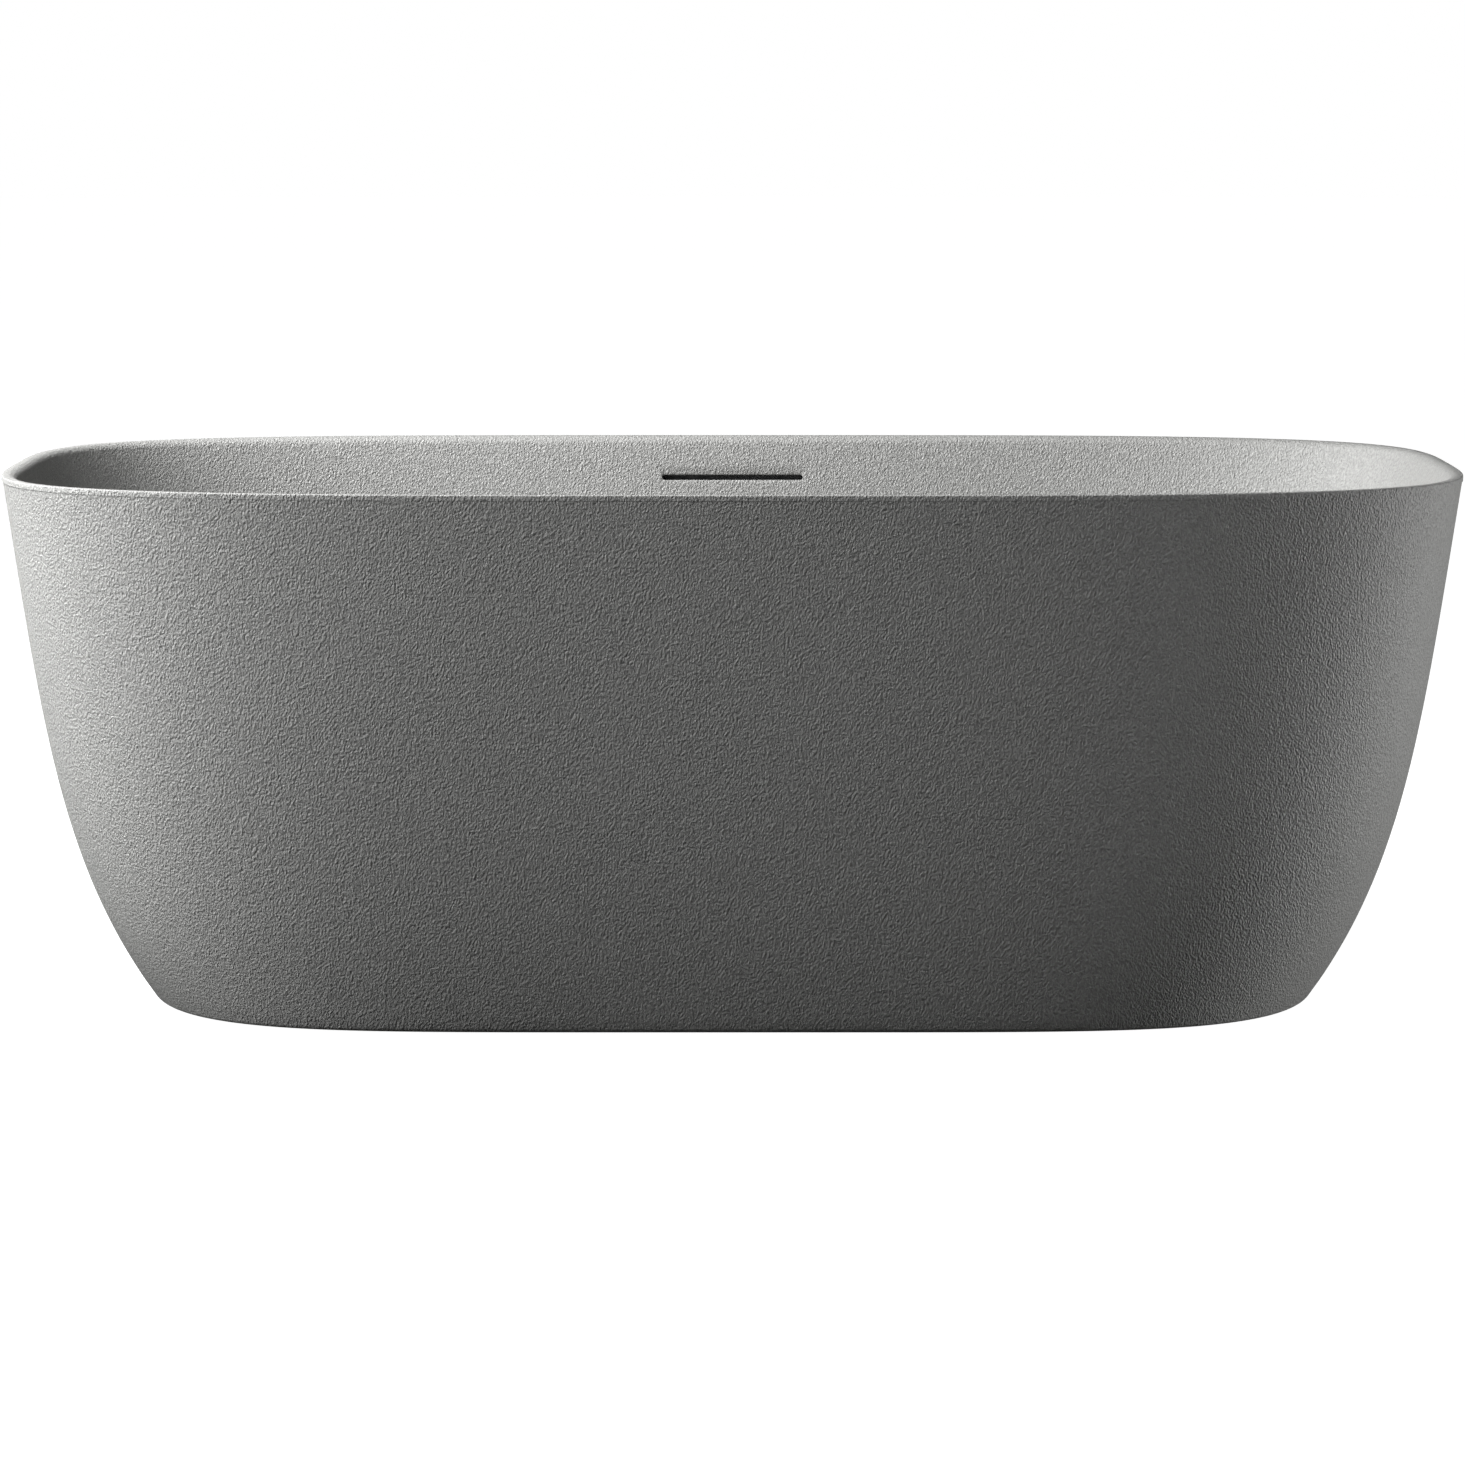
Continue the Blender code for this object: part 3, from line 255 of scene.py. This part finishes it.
class Finish:
    """A Principled material and the short calls that wire its texture nodes."""

    def __init__(self, name, colour, roughness, metallic=0.0):
        self.material = bpy.data.materials.new(name)
        self.material.use_nodes = True
        self.nodes = self.material.node_tree.nodes
        self.links = self.material.node_tree.links
        self.shader = self.nodes["Principled BSDF"]
        self.shader.inputs["Base Color"].default_value = (*colour, 1)
        self.shader.inputs["Roughness"].default_value = roughness
        self.shader.inputs["Metallic"].default_value = metallic
        self.place = self.nodes.new("ShaderNodeTexCoord").outputs["Object"]

    def stretched(self, scale):
        mapping = self.nodes.new("ShaderNodeMapping")
        mapping.inputs["Scale"].default_value = scale
        self.links.new(self.place, mapping.inputs["Vector"])
        return mapping.outputs["Vector"]

    def noise(self, scale, detail=2.0, rough=0.5, distortion=0.0, vector=None):
        node = self.nodes.new("ShaderNodeTexNoise")
        node.inputs["Scale"].default_value = scale
        node.inputs["Detail"].default_value = detail
        node.inputs["Roughness"].default_value = rough
        node.inputs["Distortion"].default_value = distortion
        self.links.new(vector or self.place, node.inputs["Vector"])
        return node.outputs["Fac"]

    def cells(self, scale, feature="F1", vector=None, output="Distance"):
        node = self.nodes.new("ShaderNodeTexVoronoi")
        node.feature = feature
        node.inputs["Scale"].default_value = scale
        self.links.new(vector or self.place, node.inputs["Vector"])
        return node.outputs[output]

    def math(self, operation, first, second):
        node = self.nodes.new("ShaderNodeMath")
        node.operation = operation
        for socket, value in zip(node.inputs, (first, second)):
            if isinstance(value, (int, float)):
                socket.default_value = value
            else:
                self.links.new(value, socket)
        return node.outputs[0]

    def remap(self, value, low, high, to_low, to_high):
        node = self.nodes.new("ShaderNodeMapRange")
        for name, number in (
            ("From Min", low),
            ("From Max", high),
            ("To Min", to_low),
            ("To Max", to_high),
        ):
            node.inputs[name].default_value = number
        self.links.new(value, node.inputs["Value"])
        return node.outputs["Result"]

    def tint(self, value, dark, light):
        """Base colour between two colours, by a value from 0 to 1."""
        node = self.nodes.new("ShaderNodeMix")
        node.data_type = "RGBA"
        node.inputs["A"].default_value = (*dark, 1)
        node.inputs["B"].default_value = (*light, 1)
        self.links.new(value, node.inputs["Factor"])
        self.links.new(node.outputs["Result"], self.shader.inputs["Base Color"])

    def roughen(self, value):
        self.links.new(value, self.shader.inputs["Roughness"])

    def bump(self, height, distance, strength=1.0):
        node = self.nodes.new("ShaderNodeBump")
        node.inputs["Distance"].default_value = distance
        node.inputs["Strength"].default_value = strength
        self.links.new(height, node.inputs["Height"])
        self.links.new(node.outputs["Normal"], self.shader.inputs["Normal"])


def stone_grey():
    """Matt warm grey with a fine wrinkled leather grain."""
    finish = Finish("stone_grey", (0.29, 0.29, 0.283), 0.50)
    flow = finish.stretched((1.0, 1.0, 0.72))
    wrinkles = finish.noise(430, 2.0, 0.5, 0.5, flow)
    pebbles = finish.cells(520, "SMOOTH_F1", flow)
    pores = finish.noise(1100, 1.0, 0.5)
    grain = finish.math("ADD", wrinkles, finish.math("MULTIPLY", pebbles, 0.55))
    grain = finish.math("ADD", grain, finish.math("MULTIPLY", pores, 0.15))
    finish.bump(grain, 0.0015, 1.0)
    shade = finish.remap(wrinkles, 0.32, 0.68, 0.0, 1.0)
    finish.tint(shade, (0.232, 0.232, 0.226), (0.345, 0.345, 0.336))
    finish.roughen(finish.remap(pebbles, 0.0, 0.8, 0.46, 0.58))
    return finish.material


def backing():
    """Sprayed glass-fibre backing: chopped strands set in resin."""
    finish = Finish("fibre_backing", (0.62, 0.60, 0.52), 0.55)
    strands = finish.noise(70, 3.0, 0.6, 2.5, finish.stretched((1.0, 1.6, 0.6)))
    mottle = finish.noise(9, 2.0)
    finish.tint(finish.remap(strands, 0.35, 0.65, 0, 1), (0.50, 0.49, 0.42), (0.66, 0.64, 0.56))
    finish.roughen(finish.remap(mottle, 0.3, 0.7, 0.42, 0.68))
    finish.bump(strands, 0.0018, 0.6)
    return finish.material


def metal(name, dark, light, roughness, cell_scale, metallic=0.95):
    """Plated or rolled steel, with patches of slightly different brightness."""
    finish = Finish(name, light, roughness, metallic)
    patches = finish.cells(cell_scale, "F1", None, "Color")
    value = finish.nodes.new("ShaderNodeSeparateColor")
    finish.links.new(patches, value.inputs["Color"])
    finish.tint(value.outputs["Red"], dark, light)
    streaks = finish.noise(cell_scale * 6, 2.0)
    finish.roughen(finish.remap(streaks, 0.3, 0.7, roughness * 0.8, roughness * 1.3))
    finish.bump(streaks, 0.0002, 0.35)
    return finish.material


def satin_steel():
    """Stainless steel turned on a lathe and satin finished: fine rings round the drain."""
    finish = Finish("satin_steel", (0.66, 0.66, 0.65), 0.38, 0.8)
    length = finish.nodes.new("ShaderNodeVectorMath")
    length.operation = "LENGTH"
    finish.links.new(finish.stretched((1, 1, 0)), length.inputs[0])
    across = finish.nodes.new("ShaderNodeCombineXYZ")
    finish.links.new(length.outputs["Value"], across.inputs["X"])
    rings = finish.noise(1500, 2.0, 0.5, 0.0, across.outputs["Vector"])
    clouds = finish.noise(14, 2.0)
    finish.tint(clouds, (0.60, 0.60, 0.59), (0.70, 0.70, 0.69))
    finish.roughen(finish.remap(rings, 0.3, 0.7, 0.32, 0.46))
    finish.bump(rings, 0.00003, 0.5)
    return finish.material


def threaded():
    """Zinc-plated M12 thread."""
    finish = Finish("zinc_thread", (0.70, 0.70, 0.67), 0.34, 1.0)
    clouds = finish.noise(120, 2.0)
    finish.tint(clouds, (0.56, 0.56, 0.53), (0.74, 0.74, 0.71))
    turns = finish.nodes.new("ShaderNodeTexWave")
    turns.bands_direction = "Z"
    turns.inputs["Scale"].default_value = 2 * pi / 20 / THREAD_PITCH
    finish.links.new(finish.place, turns.inputs["Vector"])
    finish.roughen(finish.remap(turns.outputs["Fac"], 0.0, 1.0, 0.48, 0.28))
    finish.bump(turns.outputs["Fac"], 0.0007, 1.0)
    return finish.material


def moulded(name, dark, light, roughness):
    """Injection moulded plastic with a fine spark-eroded grain."""
    finish = Finish(name, light, roughness)
    grain = finish.noise(1400, 1.0)
    clouds = finish.noise(24, 2.0)
    finish.tint(clouds, dark, light)
    finish.roughen(finish.remap(grain, 0.3, 0.7, roughness * 0.85, roughness * 1.15))
    finish.bump(grain, 0.0002, 0.4)
    return finish.material


def timber(name, dark, light, along, rings):
    """Sawn wood or board, with its grain stretched along one way."""
    finish = Finish(name, light, 0.75)
    grain = finish.noise(rings, 5.0, 0.6, 1.2, finish.stretched(along))
    fibres = finish.noise(rings * 9, 2.0, 0.5, 0.0, finish.stretched(along))
    grain = finish.math("MULTIPLY", grain, 0.75)
    both = finish.math("ADD", grain, finish.math("MULTIPLY", fibres, 0.25))
    finish.tint(finish.remap(both, 0.35, 0.65, 0, 1), dark, light)
    finish.bump(both, 0.0008, 0.5)
    return finish.material


def rubber():
    """Black rubber with a dusty bloom."""
    finish = Finish("rubber", (0.02, 0.02, 0.02), 0.75)
    bloom = finish.noise(60, 3.0)
    finish.tint(bloom, (0.014, 0.014, 0.014), (0.035, 0.035, 0.034))
    finish.roughen(finish.remap(bloom, 0.3, 0.7, 0.62, 0.85))
    finish.bump(finish.noise(800, 1.0), 0.0002, 0.4)
    return finish.material


def bond():
    """Off-white adhesive, spread by hand."""
    finish = Finish("bond_white", (0.7, 0.69, 0.66), 0.6)
    lumps = finish.noise(45, 3.0)
    finish.tint(lumps, (0.58, 0.57, 0.53), (0.74, 0.73, 0.69))
    finish.bump(lumps, 0.001, 0.5)
    return finish.material


FINISHES = {
    "stone_grey": stone_grey(),
    "bond_white": bond(),
    "board_wood": timber("board_wood", (0.20, 0.12, 0.06), (0.40, 0.27, 0.15), (0.5, 3, 3), 26),
    "block_wood": timber("block_wood", (0.36, 0.23, 0.12), (0.58, 0.42, 0.25), (0.6, 4, 4), 40),
    "galvanised": metal("galvanised", (0.42, 0.43, 0.44), (0.62, 0.63, 0.64), 0.42, 90),
    "zinc": metal("zinc", (0.60, 0.60, 0.57), (0.74, 0.74, 0.71), 0.30, 320, 1.0),
    "satin_steel": satin_steel(),
    "brass": metal("brass", (0.62, 0.44, 0.18), (0.74, 0.55, 0.26), 0.28, 260, 1.0),
    "rubber": rubber(),
    "grey_plastic": moulded("grey_plastic", (0.080, 0.082, 0.085), (0.120, 0.123, 0.127), 0.48),
    "black_plastic": moulded("black_plastic", (0.022, 0.022, 0.024), (0.040, 0.040, 0.043), 0.5),
}
BACKING = backing()
THREAD = threaded()


def dress_nodes():
    """Each CAD node gets the finish of its own slot."""
    slots = {part["node"]: part["material_slot"] for part in frame["record"]["subparts"]}
    for name, node in frame["nodes"].items():
        node.data.materials.clear()
        finish = THREAD if name.startswith("foot_stud") else FINISHES[slots[name]]
        node.data.materials.append(finish)


# ---------------------------------------------------------------- outlines of the shells


def power(value, exponent):
    """A power that keeps the value's sign."""
    return abs(value) ** exponent * (1 if value >= 0 else -1)


def outline_point(angle, half_x, half_y, powers, height):
    """A point of a superellipse with its own power along X and along Y."""
    x = half_x * power(cos(angle), 2 / powers[0])
    y = half_y * power(sin(angle), 2 / powers[1])
    return Vector((x, y, height))


def outline_normal(angle, half_x, half_y, powers):
    x = power(cos(angle), 2 - 2 / powers[0]) / half_x
    y = power(sin(angle), 2 - 2 / powers[1]) / half_y
    return Vector((x, y, 0)).normalized()


def skirt_size(height):
    """Half length, half width and powers of the outline at a height."""
    share = (HEIGHT - height) / (HEIGHT - SKIRT_LIFT)
    taper = TAPER_STRAIGHT * share + (1 - TAPER_STRAIGHT) * share**TAPER_POWER
    half_x = (LENGTH - taper * (LENGTH - BASE_LENGTH)) / 2
    half_y = (WIDTH - taper * (WIDTH - BASE_WIDTH)) / 2
    powers = [rim + share * (base - rim) for rim, base in zip(RIM_POWERS, BASE_POWERS)]
    return half_x, half_y, powers


def skirt_point(angle, height, inset=0.0):
    size = skirt_size(height)
    return outline_point(angle, *size, height) - inset * outline_normal(angle, *size)


def rim_point(angle, inset, height):
    """A point of the rim's outline, moved inwards and then to a height."""
    point = skirt_point(angle, HEIGHT, inset)
    return Vector((point.x, point.y, height))


def floor_corner(angle):
    return outline_point(angle, CORNER_HALF_X, CORNER_HALF_Y, FLOOR_POWERS, FLOOR_HEIGHT)


def fillet(before, corner, after, radius, steps):
    """An arc that touches both legs of a corner."""
    to_start = (before - corner).normalized()
    to_end = (after - corner).normalized()
    half = to_start.angle(to_end) / 2
    centre = corner + (to_start + to_end).normalized() * radius / sin(half)
    start = corner + to_start * radius / tan(half) - centre
    end = corner + to_end * radius / tan(half) - centre
    sweep = start.angle(end)
    arc = []
    for step in range(steps + 1):
        share = step / steps
        blend = start * sin((1 - share) * sweep) + end * sin(share * sweep)
        arc.append(centre + blend / sin(sweep))
    return arc


def between(start, end, count):
    """Evenly spaced points strictly between two others."""
    return [start.lerp(end, step / (count + 1)) for step in range(1, count + 1)]


def even_angles():
    """Angles that give points evenly spaced round the rim, where plain angles would crowd."""
    fine = []
    for step in range(4 * FINE):
        quarter, at = divmod(step / FINE, 1)
        eased = at**3 / (at**3 + (1 - at) ** 3)
        fine.append((quarter + eased) * pi / 2)
    fine.append(2 * pi)
    points = [skirt_point(angle, HEIGHT) for angle in fine]
    lengths = [0.0]
    for one, other in zip(points, points[1:]):
        lengths.append(lengths[-1] + (other - one).length)
    angles = []
    at = 0
    for step in range(AROUND):
        wanted = lengths[-1] * step / AROUND
        while lengths[at + 1] <= wanted:
            at += 1
        share = (wanted - lengths[at]) / (lengths[at + 1] - lengths[at])
        angles.append(fine[at] + share * (fine[at + 1] - fine[at]))
    return angles


def loft(name, sections, closed=False):
    """A skin through one section per angle, all the way round."""
    bm = bmesh.new()
    rows = [[bm.verts.new(point) for point in section] for section in sections]
    for one, other in zip(rows, rows[1:] + rows[:1]):
        ends = range(len(one)) if closed else range(1, len(one))
        for after in ends:
            bm.faces.new((one[after - 1], one[after], other[after], other[after - 1]))
    obj = meshed(name, bm)
    obj.data.shade_smooth()
    return obj


def apply_all(obj):
    """Replaces the mesh with what its modifiers make."""
    made = evaluated_mesh(obj)
    obj.modifiers.clear()
    obj.data = made


# ---------------------------------------------------------------- basin


def lean_at(angle):
    """How far the basin's wall comes inwards for each metre down."""
    across = rim_point(angle, RIM_WIDTH, 0) - floor_corner(angle)
    across.z = 0
    return across.dot(outline_normal(angle, *skirt_size(HEIGHT))) / (HEIGHT - FLOOR_HEIGHT)


def visible_side(angle):
    """From the drain across the floor, up the wall, over the rim and down its outer edge."""
    edge = skirt_point(angle, HEIGHT)
    under = rim_point(angle, 0, HEIGHT - SHELL)
    top = rim_point(angle, RIM_WIDTH, HEIGHT)
    bottom = floor_corner(angle)
    around = Vector((cos(angle), sin(angle), 0))
    middle = Vector((0, 0, FLOOR_HEIGHT))
    recess = middle - Vector((0, 0, RECESS_DEPTH))
    rim_arc = fillet(edge, top, bottom, RIM_RADIUS, 10)
    floor_arc = fillet(top, bottom, middle, FLOOR_RADIUS, 16)
    lip = around * (RECESS_RADIUS + RECESS_SLOPE) + middle
    wall = around * RECESS_RADIUS + recess
    lip_arc = fillet(wall, lip, floor_arc[-1], LIP_RADIUS, 4)
    foot_arc = fillet(recess, wall, lip, LIP_RADIUS / 2, 3)
    section = [around * DRAIN_RADIUS + recess, *foot_arc, *lip_arc]
    section += between(lip_arc[-1], floor_arc[-1], 6)
    section += floor_arc[::-1]
    section += between(floor_arc[0], rim_arc[-1], 14)
    section += rim_arc[::-1]
    section += fillet(top, edge, under, RIM_EDGE, 4)
    return section + [under]


def hidden_side(angle):
    """Back under the rim, down the wall and across below the floor to the drain."""
    lean = lean_at(angle)
    across = SHELL * ((1 + lean**2) ** 0.5 - lean)
    below = Vector((0, 0, SHELL))
    around = Vector((cos(angle), sin(angle), 0))
    floor_size = (CORNER_HALF_X, CORNER_HALF_Y, FLOOR_POWERS)
    top = rim_point(angle, RIM_WIDTH - across, HEIGHT - SHELL)
    bottom = floor_corner(angle) + outline_normal(angle, *floor_size) * across - below
    middle = Vector((0, 0, FLOOR_HEIGHT)) - below
    recess = middle - Vector((0, 0, RECESS_DEPTH))
    section = fillet(rim_point(angle, 0, HEIGHT - SHELL), top, bottom, RIM_RADIUS - SHELL, 3)
    section += between(section[-1], bottom, 3)[:2]
    section += fillet(top, bottom, middle, FLOOR_RADIUS + SHELL, 6)
    section.append(around * (RECESS_RADIUS + RECESS_SLOPE) + middle)
    section.append(around * RECESS_RADIUS + recess)
    section.append(around * DRAIN_RADIUS + recess)
    return section


def slot_cutter():
    """A bar with round ends along the wall's normal, flared at the visible face."""
    normal = Vector((0, cos(SIDE_LEAN), -sin(SIDE_LEAN)))
    up = Vector((0, sin(SIDE_LEAN), cos(SIDE_LEAN)))
    y = WIDTH / 2 - RIM_WIDTH - tan(SIDE_LEAN) * SLOT_DEPTH
    centre = Vector((0, y, HEIGHT - SLOT_DEPTH))
    levels = [(depth * SLOT_EDGE, grow * SLOT_EDGE) for depth, grow in SLOT_FLARE]
    levels.append((SLOT_REACH, 0.0))
    straight = SLOT_LENGTH / 2 - SLOT_HEIGHT / 2
    bm = bmesh.new()
    rings = []
    for depth, grow in levels:
        radius = SLOT_HEIGHT / 2 + grow
        ring = []
        for side in (1, -1):
            for step in range(END_STEPS + 1):
                angle = side * pi / 2 - step * pi / END_STEPS
                across = Vector((side * straight + radius * cos(angle), 0, 0))
                point = centre + normal * depth + across + up * (radius * sin(angle))
                ring.append(bm.verts.new(point))
        rings.append(ring)
    for one, other in zip(rings, rings[1:]):
        for at in range(len(one)):
            bm.faces.new((one[at - 1], one[at], other[at], other[at - 1]))
    bm.faces.new(rings[0])
    bm.faces.new(rings[-1][::-1])
    bmesh.ops.recalc_face_normals(bm, faces=bm.faces)
    return meshed("slot_cutter", bm)


def make_basin(angles):
    """The basin's closed skin, finished where it shows and backed where it doesn't, with its slot."""
    shown = len(visible_side(angles[0]))
    sections = [visible_side(angle) + hidden_side(angle) for angle in angles]
    basin = loft("basin_shell", sections, closed=True)
    basin.data.materials.append(FINISHES["stone_grey"])
    basin.data.materials.append(BACKING)
    for face in basin.data.polygons:
        face.material_index = int(face.index % len(sections[0]) > shown)
    cutter = slot_cutter()
    slot = basin.modifiers.new("Slot", "BOOLEAN")
    slot.object = cutter
    slot.operation = "DIFFERENCE"
    apply_all(basin)
    bpy.data.objects.remove(cutter)
    smooth(basin.data, CREASE)
    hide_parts("basin")
    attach(basin, "root")


# ---------------------------------------------------------------- skirt and the joint under the rim


def skirt_section(angle):
    """From under the rim down the outside, round the lower edge and in to the flange."""
    foot = skirt_point(angle, SKIRT_LIFT)
    flange = skirt_point(angle, SKIRT_LIFT, SKIRT_FLANGE)
    top = HEIGHT - SHELL - RIM_JOINT
    low = SKIRT_LIFT + 3 * SKIRT_EDGE_RADIUS
    rows = 34
    section = []
    for row in range(rows + 1):
        share = sin(row / rows * pi / 2)
        section.append(skirt_point(angle, top + (low - top) * share))
    section += fillet(section[-1], foot, flange, SKIRT_EDGE_RADIUS, 6)
    section += [section[-1].lerp(flange, 0.5), flange]
    return section


def make_skirt(angles):
    """The skirt, made solid towards its hidden side, which gets the backing."""
    skirt = loft("skirt_shell", [skirt_section(angle) for angle in angles])
    skirt.data.materials.append(FINISHES["stone_grey"])
    skirt.data.materials.append(BACKING)
    solid = skirt.modifiers.new("Wall", "SOLIDIFY")
    solid.thickness = SKIRT_WALL
    solid.offset = -1
    solid.use_even_offset = True
    solid.material_offset = 1
    apply_all(skirt)
    smooth(skirt.data, CREASE)
    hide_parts("skirt")
    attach(skirt, "root")


def joint_section(angle):
    """The filled joint, flush with the outside, and the bead behind it."""
    lean = lean_at(angle)
    hidden = RIM_WIDTH - SHELL * (1 + lean**2) ** 0.5 - BOND_CLEAR
    top = HEIGHT - SHELL - JOINT_CLEAR
    low = HEIGHT - BOND_DEPTH
    seam = HEIGHT - SHELL - RIM_JOINT + JOINT_CLEAR
    return [
        skirt_point(angle, top, JOINT_SINK),
        skirt_point(angle, seam, JOINT_SINK),
        skirt_point(angle, seam, SKIRT_WALL + 2 * GAP),
        skirt_point(angle, low, SKIRT_WALL + 2 * GAP),
        rim_point(angle, hidden + lean * BOND_DEPTH, low),
        rim_point(angle, hidden + lean * RIM_RADIUS, HEIGHT - RIM_RADIUS),
        skirt_point(angle, top, SKIRT_WALL + GAP),
    ]


def make_joint(angles):
    """The joint under the rim, filled and coloured like the tub."""
    joint = loft("rim_joint", [joint_section(angle) for angle in angles], closed=True)
    joint.data.materials.append(FINISHES["stone_grey"])
    joint.data.set_sharp_from_angle(angle=CREASE)
    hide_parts("rim_bond")
    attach(joint, "root")


# ---------------------------------------------------------------- plug spring


def make_spring():
    """The plug's spring as a finer coil, between its cartridge and the stem."""
    low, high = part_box("plug_spring")
    bottom = low.z + SPRING_WIRE
    rise = high.z - SPRING_WIRE - bottom
    curve = bpy.data.curves.new("spring_coil", "CURVE")
    curve.dimensions = "3D"
    curve.bevel_depth = SPRING_WIRE
    curve.bevel_resolution = 2
    curve.use_fill_caps = True
    spline = curve.splines.new("POLY")
    count = SPRING_TURNS * TURN_STEPS
    spline.points.add(count)
    for step, point in enumerate(spline.points):
        angle = 2 * pi * SPRING_TURNS * step / count
        place = Vector((cos(angle), sin(angle), 0)) * (high.x - SPRING_WIRE)
        point.co = (place.x, place.y, bottom + rise * step / count, 1)
    bent = linked("spring_curve", curve)
    bpy.context.view_layer.update()
    mesh = evaluated_mesh(bent)
    bpy.data.objects.remove(bent)
    mesh.materials.clear()
    mesh.materials.append(FINISHES["zinc"])
    smooth(mesh, radians(50))
    spring = linked("spring_coil", mesh)
    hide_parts("plug_spring")
    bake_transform(spring)


# ---------------------------------------------------------------- build

bpy.context.scene.view_settings.view_transform = "Standard"

make_camera()
make_stage()
make_lights()
dress_nodes()
around = even_angles()
make_basin(around)
make_skirt(around)
make_joint(around)
make_spring()
